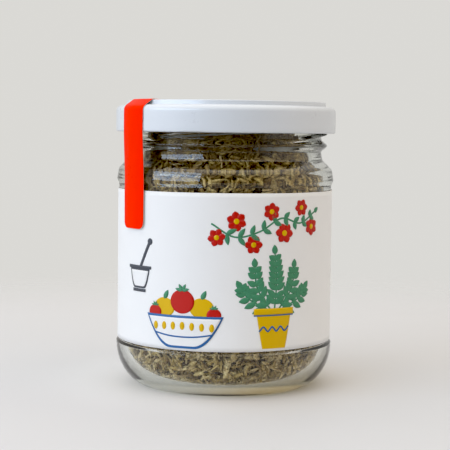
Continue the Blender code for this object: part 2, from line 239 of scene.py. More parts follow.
def fan(columns, tip, first):
    """Triangles from a tip to a ring of points numbered from the first, clockwise as seen from above."""
    here = np.arange(columns)
    return np.column_stack((np.full(columns, tip), first + (here + 1) % columns, first + here))


def mesh_object(name, points, quads, triangles=None, uv=None, tone=None):
    """A smooth-shaded object from points and faces, with an optional UV map and a tone for each point."""
    points = (np.reshape(points, (-1, 3)) * MM).astype(np.float32)
    triangles = np.zeros((0, 3), int) if triangles is None else triangles
    corners = np.concatenate((quads.ravel(), triangles.ravel())).astype(np.int32)
    sizes = np.repeat((4, 3), (len(quads), len(triangles)))
    mesh = bpy.data.meshes.new(name)
    mesh.vertices.add(len(points))
    mesh.vertices.foreach_set("co", points.ravel())
    mesh.loops.add(len(corners))
    mesh.loops.foreach_set("vertex_index", corners)
    mesh.polygons.add(len(sizes))
    mesh.polygons.foreach_set("loop_start", (np.cumsum(sizes) - sizes).astype(np.int32))
    mesh.update(calc_edges=True)
    mesh.validate()
    mesh.shade_smooth()
    if uv is not None:
        mesh.uv_layers.new(name="UVMap").uv.foreach_set("vector", uv.astype(np.float32)[corners].ravel())
    if tone is not None:
        mesh.attributes.new("tone", "FLOAT", "POINT").data.foreach_set("value", tone.astype(np.float32))
    obj = bpy.data.objects.new(name, mesh)
    bpy.context.scene.collection.objects.link(obj)
    return obj


def turned(name, profile, columns, shift=None, closed=False):
    """A profile turned round the axis, on which it starts and ends unless it is a closed outline. shift may
    change the grids of radii and heights, given each column's azimuth."""
    azimuth = np.linspace(0, 360, columns, endpoint=False)[None, :]
    inner = profile if closed else profile[1:-1]
    radius, height = (np.repeat(values[:, None], columns, axis=1) for values in inner.T)
    if shift:
        radius, height = shift(radius, height, azimuth)
    points = round_axis(azimuth, radius, height).reshape(-1, 3)
    quads = grid_quads(len(inner), columns, wrap_rows=closed, wrap_columns=True)
    if closed:
        return mesh_object(name, points, quads)
    count = len(points)
    poles = [(0, 0, profile[0, 1]), (0, 0, profile[-1, 1])]
    ends = np.concatenate((fan(columns, count, 0), fan(columns, count + 1, count - columns)[:, [0, 2, 1]]))
    return mesh_object(name, np.concatenate((points, poles)), quads, ends)


def thick_grid(front, back):
    """Points and faces of a thin closed solid between two grids, with its four rims closed."""
    face = grid_quads(*front.shape[:2])
    count = front[..., 0].size
    index = np.arange(count).reshape(front.shape[:2])
    loop = np.concatenate((index[0, :-1], index[:-1, -1], index[-1, :0:-1], index[:0:-1, 0]))
    following = np.roll(loop, -1)
    rim = np.column_stack((loop + count, following + count, following, loop))
    points = np.concatenate((front.reshape(-1, 3), back.reshape(-1, 3)))
    return points, np.concatenate((face, face[:, ::-1] + count, rim))


def feed(tree, node, inputs):
    """Sets a node's inputs. A value is a number, a colour of three numbers or the output that feeds it."""
    for name, value in inputs.items():
        socket = node.inputs[name]
        if isinstance(value, bpy.types.NodeSocket):
            tree.links.new(value, socket)
        else:
            socket.default_value = (*value, 1.0) if socket.type == "RGBA" else value


def add_node(tree, kind, inputs=None, **settings):
    """Adds a shader node of a kind, with its settings and its inputs, and gives its outputs."""
    node = tree.nodes.new("ShaderNode" + kind)
    for name, value in settings.items():
        setattr(node, name, value)
    feed(tree, node, inputs or {})
    return node.outputs


def compute(tree, operation, *values):
    """The result of a Math node."""
    return add_node(tree, "Math", dict(enumerate(values)), operation=operation)[0]


def between(tree, value, low, high):
    """A smooth step from 0 at low to 1 at high."""
    ends = {"Value": value, "From Min": low, "From Max": high}
    return add_node(tree, "MapRange", ends, interpolation_type="SMOOTHSTEP")["Result"]


def add_ramp(tree, factor, stops):
    """A colour ramp through (position, colour) stops."""
    node = tree.nodes.new("ShaderNodeValToRGB")
    feed(tree, node, {"Fac": factor})
    elements = node.color_ramp.elements
    while len(elements) < len(stops):
        elements.new(1.0)
    for element, (position, colour) in zip(elements, stops):
        element.position = position
        element.color = (*colour, 1.0)
    return node.outputs["Color"]


def mix_colours(tree, factor, first, second, blend="MIX"):
    """A colour mixed from two, each a colour or an output socket."""
    inputs = {0: factor, 6: first, 7: second}
    return add_node(tree, "Mix", inputs, data_type="RGBA", blend_type=blend)[2]


def surface_grain_group():
    """The group behind every fine finish: grain from Object coordinates, as a mask and a height."""
    group = bpy.data.node_groups.get("surface_grain")
    if group:
        return group
    group = bpy.data.node_groups.new("surface_grain", "ShaderNodeTree")
    for name in ("Grain size", "Patch size", "Patchiness", "Mask", "Height"):
        way = "OUTPUT" if name in ("Mask", "Height") else "INPUT"
        group.interface.new_socket(name, in_out=way, socket_type="NodeSocketFloat")
    entry = group.nodes.new("NodeGroupInput").outputs
    where = add_node(group, "TexCoord")["Object"]
    grain, patch = (
        add_node(group, "TexNoise", {
            "Vector": where,
            "Scale": compute(group, "DIVIDE", 1.0, entry[size]),
            "Detail": detail,
        })["Fac"]
        for size, detail in (("Grain size", 3.0), ("Patch size", 2.0))
    )
    mask = add_node(group, "Mix", {0: entry["Patchiness"], 2: grain, 3: patch}, data_type="FLOAT")[0]
    feed(group, group.nodes.new("NodeGroupOutput"), {"Mask": mask, "Height": grain})
    return group


def add_grain(tree, grain_size, patch_size, patchiness=0.5):
    """The mask and the height from a surface_grain group, with its sizes in millimetres."""
    values = {"Grain size": grain_size * MM, "Patch size": patch_size * MM, "Patchiness": patchiness}
    outputs = add_node(tree, "Group", values, node_tree=surface_grain_group())
    return outputs["Mask"], outputs["Height"]


def add_bump(tree, height, relief):
    """The normal of a relief, given in millimetres."""
    return add_node(tree, "Bump", {"Height": height, "Distance": relief * MM})["Normal"]


def new_material(name):
    """A material with nodes, its node tree and its Principled shader."""
    material = bpy.data.materials.new(name)
    material.use_nodes = True
    return material, material.node_tree, material.node_tree.nodes["Principled BSDF"]


def grained(name, colour, variation, roughness, grain_size, patch_size, relief, coat=0.0, specular=0.5):
    """A finish whose colour, roughness and height vary with the surface grain. Sizes are in millimetres."""
    material, tree, shader = new_material(name)
    mask, height = add_grain(tree, grain_size, patch_size)
    spread = {
        "Value": mask,
        "From Min": 0.25,
        "From Max": 0.75,
        "To Min": roughness * 0.85,
        "To Max": min(1.0, roughness * 1.15),
    }
    feed(tree, shader, {
        "Base Color": add_ramp(tree, mask, [(0.3, [c * (1 - variation) for c in colour]), (0.7, colour)]),
        "Roughness": add_node(tree, "MapRange", spread)["Result"],
        "Normal": add_bump(tree, height, relief),
        "Specular IOR Level": specular,
        "Coat Weight": coat,
        "Coat Roughness": 0.12,
    })
    return material


def clear_glass(name, settings):
    """Clear glass that lets lamps and soft light through, so that what stands in it is lit. Each metre of it
    takes up its density times (1 - its depth colour) of the light."""
    material, tree, shader = new_material(name)
    feed(tree, shader, {
        "Base Color": settings.tint,
        "Roughness": settings.roughness,
        "IOR": settings.ior,
        "Transmission Weight": 1.0,
    })
    path = add_node(tree, "LightPath")
    either = compute(tree, "MAXIMUM", path["Is Shadow Ray"], path["Is Diffuse Ray"])
    through = add_node(tree, "BsdfTransparent", {"Color": settings.shade})[0]
    mix = add_node(tree, "MixShader", {0: either, 1: shader.outputs[0], 2: through})[0]
    inside = add_node(tree, "VolumeAbsorption", {"Color": settings.depth, "Density": GLASS_DENSITY})[0]
    feed(tree, tree.nodes["Material Output"], {"Surface": mix, "Volume": inside})
    return material


def finish_piece(obj, material, body, slot, *nodes):
    """Gives a piece its material and its body, and hides the CAD nodes that it stands for. The slot is not
    used.
    """
    obj.data.materials.append(material)
    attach(obj, body)
    if nodes:
        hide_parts(*nodes)


def colour(name, of, default):
    description = "Colour of " + of
    return FloatVectorProperty(
        name=name, description=description, default=default, size=3, min=0.0, max=2.0, subtype="COLOR"
    )


def length(name, description, default):
    return FloatProperty(
        name=name, description=description, default=default * MM, min=0.0, precision=5, unit="LENGTH"
    )


def number(name, description, default, least=0.0, most=1000.0):
    return FloatProperty(name=name, description=description, default=default, min=least, max=most)


def whole(name, description, default):
    return IntProperty(name=name, description=description, default=default, min=1)


class GlassSettings(PropertyGroup):
    """The jar's glass"""

    tint: colour("Tint", "light that has crossed the surface", (0.975, 0.985, 0.975))
    depth: colour("Depth", "thick glass", (0.5, 0.53, 0.42))
    shade: colour("Shade", "light that reaches things behind the glass", (0.93, 0.94, 0.93))
    ior: number("IOR", "Index of refraction", 1.5, 1.0, 2.0)
    roughness: number("Roughness", "Roughness of the surface", 0.01, 0.0, 1.0)
    unevenness: length("Unevenness", "How far the inner wall wanders", 0.02)


class HerbSettings(PropertyGroup):
    """The dried thyme"""

    leaf_length: length("Leaf length", "Length of a middling dried leaf", 3.7)
    leaf_width: length("Leaf width", "Width of a middling dried leaf", 1.3)
    side_leaves: whole("Leaves at the side", "Leaves in each full band at the side", 3600)
    stalks: whole("Stalks", "Bits of stalk", 620)
    seed: whole("Seed", "Seed of every random draw", 5)
    # Painted shade: the dark between the leaves, also the core's colour and the darkest leaf tone
    gap: colour("Gap", "what shows between the leaves", (0.06, 0.03, 0.008))
    dark: colour("Dark leaf", "the darkest leaves", (0.3, 0.19, 0.07))
    green: colour("Green leaf", "the greenest leaves", (0.64, 0.465, 0.165))
    pale: colour("Pale leaf", "the palest leaves", (0.95, 0.765, 0.42))
    straw: colour("Stalk", "the bits of stalk", (0.76, 0.58, 0.32))


class LabelSettings(PropertyGroup):
    """The paper label and its print"""

    paper: colour("Paper", "the paper", (0.87, 0.87, 0.87))
    red: colour("Red ink", "the blossoms and the tomatoes", (0.52, 0.012, 0.008))
    green: colour("Green ink", "the leaves", (0.06, 0.26, 0.14))
    yellow: colour("Yellow ink", "the pot and the lemons", (0.72, 0.45, 0.0))
    blue: colour("Blue ink", "the bowl's lines", (0.02, 0.13, 0.37))
    grey: colour("Grey ink", "the mortar and the rules", (0.07, 0.08, 0.1))


class LidSettings(PropertyGroup):
    """The twist-off lid and its sealing ring"""

    enamel: colour("Enamel", "the lid", (0.72, 0.76, 0.81))
    compound: colour("Compound", "the sealing ring", (0.72, 0.71, 0.66))


class StripSettings(PropertyGroup):
    """The seal strip"""

    red: colour("Red", "the printed side", (1.0, 0.022, 0.0))
    back: colour("Back", "the bare side", (0.8, 0.78, 0.74))


class StageSettings(PropertyGroup):
    """Floor, backdrop, light and camera"""

    floor: colour("Floor", "the floor", (0.632, 0.638, 0.653))
    # Painted light: these glows are emission on the floor that stands in for light coming through the jar
    painted_glow: colour("Glow", "the light on the floor at the jar's lit side", (1.0, 0.98, 0.94))
    warm_painted_glow: colour("Warm glow", "the light on the floor at its far side", (1.0, 0.74, 0.36))
    near_painted_glow: number("Near glow", "Strength of the light on the floor round the jar", 0.08)
    lit_painted_glow: number("Lit side", "What the lit side adds to it", 0.11)
    foot_painted_glow: number("Foot glow", "Strength of the light under the jar's foot", 0.31)
    backdrop: colour("Backdrop", "the backdrop", (0.709, 0.701, 0.674))
    window_light: colour("Window light", "the window's light", (0.6, 0.77, 1.0))
    window_power: number("Window power", "Power of the window", 3.1)
    left_light: colour("Left", "the room's light at the left", (1.03, 0.985, 0.93))
    right_light: colour("Right", "the room's light at the right", (0.92, 0.84, 0.75))
    dark_end: colour("Dark end", "the room's light in front of the jar", (0.2, 0.185, 0.165))
    room_strength: number("Room", "Strength of the room's light", 0.835)
    ceiling_gain: number("Ceiling", "Brightness of the ceiling over the walls", 2.0)
    black_level: colour("Black level", "the light that the picture shows as black", (0.016, 0.018, 0.02))
    camera_distance: length("Camera distance", "From the jar's axis to the camera", 419.7)
    camera_height: length("Camera height", "Height of the camera", 79.8)
    camera_aside: length("Camera aside", "How far left of the jar's axis the camera stands", 0.29)
    camera_pitch: number("Camera pitch", "Downward tilt in degrees", 4.1)
    camera_roll: number("Camera roll", "Anticlockwise roll in degrees", 0.69)
    lens: number("Lens", "Focal length in millimetres", 106.08)


def inside_profile():
    """The inside of the jar, from the middle of the floor up to the mouth."""
    heel_centre = (INNER_RADIUS - INNER_HEEL[0], FLOOR_EDGE + INNER_HEEL[1])
    share = np.linspace(0, 1, 12, endpoint=False)
    floor = np.column_stack((heel_centre[0] * share, FLOOR_EDGE + FLOOR_RISE * (1 - share**2)))
    shoulder = rounded_path([
        (INNER_RADIUS, HEEL_HEIGHT + 1, 0),
        (INNER_RADIUS, INNER_SHOULDER[0], 3),
        (MOUTH_RADIUS, INNER_SHOULDER[1], 3),
        (MOUTH_RADIUS, BEAD_HEIGHT, 0),
    ], steps=12)
    return np.concatenate((floor, arc(heel_centre, INNER_HEEL, -90, 0, 18), shoulder))


def outside_profile():
    """The outside of the jar, from the middle of the push-up to the top of the bead, a raised cosine."""
    share = np.linspace(0, 1, 14)
    push_up = np.column_stack((BEARING_INNER_RADIUS * share, PUSH_UP * (1 - share**2)))
    foot = -math.degrees(math.asin(HEEL_CENTRE[1] / HEEL_HEIGHT))
    heel = arc(HEEL_CENTRE, (BODY_RADIUS - HEEL_CENTRE[0], HEEL_HEIGHT), foot, 0, 28)
    bumpers = rounded_path([
        (BODY_RADIUS, 13.05, 0),
        (BODY_RADIUS, PANEL_BOTTOM - 0.5, 0.3),
        (PANEL_RADIUS, PANEL_BOTTOM + 0.1, 0.3),
        (PANEL_RADIUS, PANEL_TOP, 0.6),
        *SHOULDER,
    ])
    rise = np.linspace(-1, 1, 25)
    swell = BEAD_REACH * (1 + np.cos(math.pi * rise)) / 2
    bead = np.column_stack((NECK_RADIUS + swell, BEAD_HEIGHT + BEAD_HALF_HEIGHT * rise))
    return np.concatenate((push_up, heel[1:], finer(bumpers, 3), bead))


def from_lug(azimuth, start, lowest):
    """Azimuths from a start's lug, brought within the turn that begins at the lowest."""
    return (azimuth - FIRST_LUG_AZIMUTH - 360 * start / STARTS - lowest) % 360 + lowest


def thread_relief(radius, height, azimuth):
    """How far the thread stands out at a point of the neck. Each ridge's underside passes over its lug and
    climbs by the lead for each turn. Across the ridge the reach is a smooth step from each flank. Along it
    the reach fades in and out over the taper. Over the bead only what stands out further counts."""
    low, high = RIDGE_SPAN
    reach = np.zeros_like(radius)
    for start in range(STARTS):
        turn = from_lug(azimuth, start, low - 20)
        middle = RIDGE_UNDERSIDE + LEAD * turn / 360 + RIDGE_HALF_HEIGHT
        across = smooth_step((RIDGE_HALF_HEIGHT - np.abs(height - middle)) / RIDGE_FLANK)
        along = smooth_step(np.minimum(turn - low, high - turn) / RIDGE_TAPER)
        reach = np.maximum(reach, RIDGE_REACH * across * along)
    on_neck = (radius > NECK_RADIUS - 1.5) & (height > BEAD_HEIGHT)
    return np.where(on_neck, np.maximum(reach - np.maximum(radius - NECK_RADIUS, 0), 0), 0.0)


class THYME_OT_glass(Operator):
    """Turn the jar's wall, raise its thread and make it of clear glass"""

    bl_idname = "thyme.glass"
    bl_label = "Glass jar"

    def execute(self, context):
        settings = context.scene.thyme_glass
        half_lip = (NECK_RADIUS - MOUTH_RADIUS) / 2
        heights = np.arange(BEAD_HEIGHT + BEAD_HALF_HEIGHT + NECK_ROW, LIP_TOP - half_lip, NECK_ROW)
        neck = np.column_stack((np.full(len(heights), NECK_RADIUS), heights))
        lip = arc((MOUTH_RADIUS + half_lip, LIP_TOP - half_lip), (half_lip, half_lip), 0, 180, 14)
        inside = finer(inside_profile(), 3)[::-1]
        profile = np.concatenate((outside_profile(), neck, lip, inside))
        inner_start = len(profile) - len(inside) - 1

        def shift(radius, height, azimuth):
            radius = radius + thread_relief(radius, height, azimuth)
            fade = smooth_step((np.arange(len(radius))[:, None] - inner_start - 2) / 12)
            wander = waves(np.radians(azimuth), height / 9, seed=3)
            return radius + settings.unevenness / MM * wander * fade * smooth_step(radius / 20), height

        jar = turned("jar_glass", profile, 256, shift)
        finish_piece(jar, clear_glass("clear_glass_finish", settings), "jar", "clear_glass", "glass_jar")
        return {"FINISHED"}


def fill_height(x, y):
    """The height of the herb's top: level on the left, then a smooth step down towards +X and the front."""
    downhill = x * FILL_DOWNHILL[0] + y * FILL_DOWNHILL[1]
    return FILL_TOP - FILL_DROP * smooth_step((downhill - FILL_SLOPE_START) / FILL_SLOPE_LENGTH)


def herb_outline(inset):
    """The inside of the jar, then the flank of the heap, moved inwards by inset along its normals."""
    inside = inside_profile()
    inside = finer(np.concatenate((inside[inside[:, 1] < HEAP_FLANK[0][1]], rounded_path(HEAP_FLANK))), 1)
    along = unit(np.gradient(inside, axis=0))
    moved = inside + inset * np.column_stack((-along[:, 1], along[:, 0]))
    moved[0] = (0.0, moved[1, 1])
    return moved[moved[:, 0] >= 0]


def keep_inside(points, outline):
    """Pulls points inside the outline: no lower than the floor and no further out than the wall there."""
    lowest = int(np.argmin(outline[:, 1]))
    floor, wall = outline[: lowest + 1], outline[lowest:]
    radius = np.hypot(points[..., 0], points[..., 1])
    height = np.maximum(points[..., 2], np.interp(radius, floor[:, 0], floor[:, 1]))
    scale = np.minimum(1.0, np.interp(height, wall[:, 1], wall[:, 0]) / np.maximum(radius, 1e-6))
    return np.stack((points[..., 0] * scale, points[..., 1] * scale, height), axis=-1)


def turn_about(axis, angle):
    """Rotation matrices about the axis of that number, one for each angle."""
    after, last = (axis + 1) % 3, (axis + 2) % 3
    matrix = np.zeros((len(angle), 3, 3))
    matrix[:, axis, axis] = 1
    matrix[:, after, after] = matrix[:, last, last] = np.cos(angle)
    matrix[:, last, after] = np.sin(angle)
    matrix[:, after, last] = -np.sin(angle)
    return matrix


def lay_bits(local, centre, normal, spin, tilt, roll):
    """Places bits, as (bits, points, 3) with x along, y across and z up, on surfaces with those normals."""
    level = np.cross([0.0, 0.0, 1.0], normal)
    level[np.linalg.norm(level, axis=1) < 1e-6] = (1.0, 0.0, 0.0)
    level = unit(level)
    basis = np.stack((level, np.cross(normal, level), normal), axis=-1)
    turn = basis @ turn_about(2, spin) @ turn_about(1, tilt) @ turn_about(0, roll)
    return centre[:, None, :] + np.einsum("nij,npj->npi", turn, local)


def closed_bits(rings, tail, head):
    """Bits from (bits, stations, around, 3) rings and the points that close them, with their layout."""
    body = rings.reshape(len(rings), -1, 3)
    ends = (np.column_stack(tail)[:, None], np.column_stack(head)[:, None])
    return np.concatenate((body, *ends), axis=1), *rings.shape[1:3]


def leaf_shapes(count, settings, rng):
    """Dried leaves as closed blades. At a place s from -1 to 1 along the leaf, the half width is
    (1 - s^2)^0.6 times half the width, wider before the middle. The margins roll under, the middle of each
    face stands up, and the whole leaf arches and twists."""
    s = np.array([-0.86, -0.45, 0.0, 0.42, 0.82])
    half_width = (1 - s**2) ** 0.6 * (1 - 0.22 * s)
    size = rng.normal(1.0, 0.2, count).clip(0.45, 1.6)
    long = (settings.leaf_length / MM / 2 * size)[:, None]
    breadth = settings.leaf_width / MM / 2 * rng.normal(1.0, 0.22, count).clip(0.5, 1.7)
    wide = (breadth * np.sqrt(size))[:, None] * half_width
    rolled = rng.uniform(0.25, 1.1, count)[:, None] * wide
    thick = 0.16 + 0.12 * wide
    arch = rng.normal(0.0, 0.22, count)[:, None] * long * s**2
    swerve = rng.normal(0.0, 0.16, count)[:, None] * long * s**2
    twist = rng.normal(0.0, 0.5, count)[:, None] * s
    across = np.stack((-wide, 0 * wide, wide, 0 * wide), axis=-1)
    up = np.stack((-rolled, 0.25 * wide + thick / 2, -rolled, 0.25 * wide - thick / 2), axis=-1)
    cosine, sine = np.cos(twist)[..., None], np.sin(twist)[..., None]
    rings = np.stack((
        np.broadcast_to((long * s)[..., None], across.shape),
        across * cosine - up * sine + swerve[..., None],
        across * sine + up * cosine + arch[..., None],
    ), axis=-1)
    aside, above = swerve[:, 0] / s[0] ** 2, arch[:, 0] / s[0] ** 2
    return closed_bits(rings, (-long[:, 0], aside, above), (long[:, 0], aside, above))


def stalk_shapes(count, rng):
    """Bits of stalk as closed five-sided rods, bent in an arc and a little thicker at one end."""
    s = np.array([-1.0, -0.35, 0.3, 0.97])
    long = rng.uniform(1.4, 4.2, count)[:, None]
    radius = (rng.uniform(0.2, 0.38, count)[:, None] * (1 - 0.2 * s))[..., None]
    around = np.radians(np.arange(5) * 72.0)
    arch = rng.normal(0.0, 0.12, count)[:, None] * long * s**2
    across, up = radius * np.cos(around), arch[..., None] - radius * np.sin(around)
    rings = np.stack((np.broadcast_to((long * s)[..., None], up.shape), across, up), axis=-1)
    tail = (-long[:, 0] * 1.05, np.zeros(count), arch[:, 0])
    return closed_bits(rings, tail, (long[:, 0] * 1.02, np.zeros(count), arch[:, -1]))


def bit_faces(count, stations, around):
    """Faces of many closed bits: rings of points at stations along each bit, then its two end points."""
    each = stations * around + 2
    quads = grid_quads(stations, around, wrap_columns=True)[:, ::-1]
    triangles = np.concatenate((
        fan(around, each - 2, 0)[:, [0, 2, 1]],
        fan(around, each - 1, each - 2 - around),
    ))
    offset = (np.arange(count) * each)[:, None, None]
    return (quads[None] + offset).reshape(-1, 4), (triangles[None] + offset).reshape(-1, 3)


def side_places(count, low, high, rng):
    """Random places on the wall between two heights: centres, normals and depths, 0 at the glass."""
    outline = herb_outline(FILL_CLEARANCE)
    wall = finer(outline[int(np.argmin(outline[:, 1])) :], 0.5)
    lengths = path_lengths(wall)[(wall[:, 1] >= low) & (wall[:, 1] <= high)]
    distance = rng.uniform(lengths[0], lengths[-1], count)
    place = on_path(wall, distance)
    along = unit(on_path(wall, distance + 0.3) - on_path(wall, distance - 0.3))
    azimuth = rng.uniform(0, 360, count)
    normal = round_axis(azimuth, along[:, 1], -along[:, 0])
    depth = rng.uniform(0, 1, count) ** 1.2
    centre = round_axis(azimuth, place[:, 0], place[:, 1]) - normal * (0.25 + 2.3 * depth[:, None])
    return centre, normal, depth


def below_top(places, margin):
    """The places that lie under the herb's top by at least the margin."""
    centre = places[0]
    kept = centre[:, 2] < fill_height(centre[:, 0], centre[:, 1]) - margin
    return [values[kept] for values in places]


def level_places(count, radius, height, up, rng):
    """Random places on a level disc: their centres, their normals, which lean a little, and one depth."""
    azimuth = rng.uniform(0, 360, count)
    centre = round_axis(azimuth, radius * np.sqrt(rng.uniform(0, 1, count)), height)
    normal = np.column_stack((rng.normal(0, 0.15, (count, 2)), np.full(count, up)))
    return centre, unit(normal), np.full(count, 0.3)


def build_bits(name, shapes, places, lean, rng):
    """One piece of many bits laid at random on the herb's surface. Each has its own tone, darker if it lies
    deep, as painted shade between the leaves, and lighter low in the jar and darker under the lid, as
    painted light and shade."""
    local, stations, around = shapes
    centre, normal, depth = places
    count = len(centre)
    spin = rng.uniform(0, math.tau, count)
    tilt = rng.normal(0, lean, count)
    roll = rng.normal(0, lean * 1.6, count) + math.pi * (rng.uniform(0, 1, count) < 0.45)
    points = keep_inside(lay_bits(local, centre, normal, spin, tilt, roll), herb_outline(FILL_CLEARANCE))
    quads, triangles = bit_faces(count, stations, around)
    along = np.append(np.repeat(np.linspace(0.1, 0.9, stations), around), (0.0, 1.0))
    across = np.append(np.tile(np.arange(around) / around, stations), (0.5, 0.5))
    # Painted light and shade: lighter leaves low in the jar, darker ones under the lid, and darker deep
    # leaves
    light = np.interp(centre[:, 2], [20, 57, 61, 73], [1.5, 1.14, 1.14, 0.6])
    tone = (0.1 + 0.9 * rng.beta(1.7, 1.9, count)) * (1 - 0.5 * depth) * light
    uv = np.tile(np.column_stack((along, across)), (count, 1))
    return mesh_object(name, points, quads, triangles, uv=uv, tone=np.repeat(tone, points.shape[1]))


def leaf_finish(name, settings, stalk=False):
    """Dried leaf or stalk: its own tone picks the colour, with a paler underside and blotches."""
    material, tree, shader = new_material(name)
    tone = add_node(tree, "Attribute", attribute_name="tone")["Fac"]
    middle = [(a + b) / 2 for a, b in zip(settings.green, settings.pale)]
    stops = [(0.2, settings.dark), (0.5, settings.green), (0.78, middle)]
    if stalk:
        stops = [(0.35, settings.dark), (0.7, settings.straw)]
    # Tone 0 gives the painted gap shade
    paint = add_ramp(tree, tone, [(0.0, settings.gap), *stops, (1.0, settings.pale)])
    uv = add_node(tree, "SeparateXYZ", {"Vector": add_node(tree, "UVMap")["UV"]})
    share = compute(tree, "MULTIPLY", between(tree, uv["Y"], 0.45, 0.7), tone)
    paint = mix_colours(tree, share, paint, mix_colours(tree, 0.5, paint, settings.pale))
    mask, height = add_grain(tree, 0.35, 1.6)
    blotch = add_ramp(tree, mask, [(0.38, (0.42, 0.34, 0.26)), (0.56, (1.0, 1.0, 1.0))])
    feed(tree, shader, {
        "Base Color": mix_colours(tree, 0.9, paint, blotch, "MULTIPLY"),
        "Normal": add_bump(tree, height, 0.12),
        "Roughness": 0.8,
        "Specular IOR Level": 0.15,
    })
    return material


def build_core(settings):
    """The dark core that fills the gaps between the leaves, in a painted shade colour for the deep herb: the
    herb's outline moved in, with small lumps, and its top lowered as the herb's top is."""
    outline = herb_outline(FILL_CLEARANCE + 1.7)
    outline = outline[outline[:, 1] < FILL_TOP - 1.5]
    top = np.array([(outline[-1, 0] - 0.5, FILL_TOP - 1.3), (0.0, FILL_TOP - 1.2)])

    def shift(radius, height, azimuth):
        turn = np.radians(azimuth)
        share = np.clip((height - CREST_HEIGHT) / (FILL_TOP - CREST_HEIGHT), 0, 1)
        height = height + (fill_height(radius * np.sin(turn), -radius * np.cos(turn)) - FILL_TOP) * share
        lumps = waves(turn, height / 2.2, seed=8, count=12, lowest=3, highest=40)
        return radius - 0.35 * (1 + lumps), height

    core = turned("herb_core", np.concatenate((outline, finer(top, 2))), 120, shift)
    finish = grained("herb_core_finish", settings.gap, 0.5, 0.95, 0.7, 2.5, 0.5, specular=0.1)
    finish_piece(core, finish, "jar", "dried_leaf", "dried_thyme")


class THYME_OT_herb(Operator):
    """Fill the jar with rubbed leaves and bits of stalk over a dark core"""

    bl_idname = "thyme.herb"
    bl_label = "Dried thyme"

    def execute(self, context):
        settings = context.scene.thyme_herb
        rng = np.random.default_rng(settings.seed)
        leaf = leaf_finish("dried_leaf_finish", settings)
        stalk = leaf_finish("dried_stalk_finish", settings, stalk=True)
        build_core(settings)

        def lay_leaves(name, places, lean):
            shapes = leaf_shapes(len(places[0]), settings, rng)
            finish_piece(build_bits(name, shapes, places, lean, rng), leaf, "jar", "dried_leaf")

        bands = (
            ("thyme_leaves_lower", settings.side_leaves, 0.0, 19),
            ("thyme_leaves_upper", settings.side_leaves, 57, FILL_TOP),
            ("thyme_leaves_middle", settings.side_leaves * 2 // 5, 18, 58),
        )
        for name, count, low, high in bands:
            lay_leaves(name, below_top(side_places(count, low, high, rng), -0.3), 0.32)
        top = level_places(1000, HEAP_FLANK[-1][0], 0.0, 1.0, rng)
        top[0][:, 2] = fill_height(*top[0][:, :2].T) - rng.uniform(0.2, 1.6, len(top[0]))
        under = level_places(700, 25, FLOOR_EDGE + FLOOR_RISE, -1.0, rng)
        lay_leaves("thyme_leaves_top_and_floor", [np.concatenate(pair) for pair in zip(top, under)], 0.35)

        thirds = [side_places(settings.stalks // 3, low, high, rng) for _, _, low, high in bands]
        places = below_top([np.concatenate(three) for three in zip(*thirds)], 0.5)
        bits = build_bits("thyme_stalks", stalk_shapes(len(places[0]), rng), places, 0.12, rng)
        finish_piece(bits, stalk, "jar", "dried_leaf")
        return {"FINISHED"}


def ink_shape(path, half_width, layer):
    """A flat shape on the label: a path in (distance round from the front, height), and at each point the
    half width on both sides of it. It is a thin solid whose layer sets how far out it lies."""
    half_width = np.maximum(np.broadcast_to(half_width, len(path)), 0.02)
    fine = finer(np.column_stack((path, half_width)), INK_PITCH)
    path, half_width = fine[:, :2], fine[:, 2]
    along = unit(np.gradient(path, axis=0))
    right = np.column_stack((along[:, 1], -along[:, 0]))
    share = np.linspace(-1, 1, 1 + math.ceil(2 * half_width.max() / INK_PITCH))
    flat = path[:, None, :] + right[:, None, :] * half_width[:, None, None] * share[None, :, None]
    azimuth = np.degrees(flat[..., 0] / LABEL_RADIUS)
    radius = LABEL_RADIUS + layer * INK_LAYER
    return thick_grid(*(round_axis(azimuth, r, flat[..., 1]) for r in (radius, radius - INK_DEPTH)))


def bent(points, steps=16):
    """A smooth path through a few points, as a Catmull-Rom curve."""
    points = np.asarray(points, float)
    ends = np.concatenate(([2 * points[0] - points[1]], points, [2 * points[-1] - points[-2]]))
    t = np.linspace(0, 1, steps, endpoint=False)[:, None]
    parts = [
        0.5 * (2 * b + (c - a) * t + (2 * a - 5 * b + 4 * c - d) * t**2 + (3 * b - a - 3 * c + d) * t**3)
        for a, b, c, d in zip(ends, ends[1:], ends[2:], ends[3:])
    ]
    return np.concatenate((*parts, points[-1:]))


def ink_leaf(start, angle, long, wide, layer=2, blunt=0.8):
    """A leaf or petal from its foot: at the share t of its length, the half width is half of wide times
    sin(pi t^blunt)^0.8, so a higher blunt moves the widest part nearer the tip."""
    t = np.linspace(0, 1, 14)
    turn = math.radians(angle)
    path = np.array(start) + (t * long)[:, None] * (math.cos(turn), math.sin(turn))
    return ink_shape(path, wide / 2 * np.sin(math.pi * t**blunt) ** 0.8, layer)


def ink_disc(centre, across, tall, layer=1):
    """An oval: half the width times sqrt(1 - t^2) along its height."""
    t = np.sin(np.linspace(-math.pi / 2, math.pi / 2, 21))
    path = np.column_stack((np.full(21, centre[0]), centre[1] + t * tall / 2))
    return ink_shape(path, across / 2 * np.sqrt(np.maximum(0, 1 - t**2)), layer)


def ink_rise(centre, low, high, low_width, high_width, swell, layer):
    """A pot or bowl: at the share t of its height, its width has gone from low to high by t^swell."""
    t = np.linspace(0, 1, 18) ** 2
    path = np.column_stack((np.full(18, centre), low + (high - low) * t))
    return ink_shape(path, (low_width + (high_width - low_width) * t**swell) / 2, layer)


def ink_line(points, line, layer=2):
    """A line of even width through a few points."""
    return ink_shape(bent(points, 10), line / 2, layer)


def ink_rule(left, right, height, half_width, layer):
    """A level line."""
    return ink_shape([(left, height), (right, height)], half_width, layer)


def blossom(centre, size, turn):
    """Six round petals about a yellow eye."""
    for i in range(6):
        yield "red", ink_leaf(centre, turn + 60 * i, size, size * 0.72, blunt=1.5)
    yield "yellow", ink_disc(centre, size * 0.55, size * 0.55, layer=3)


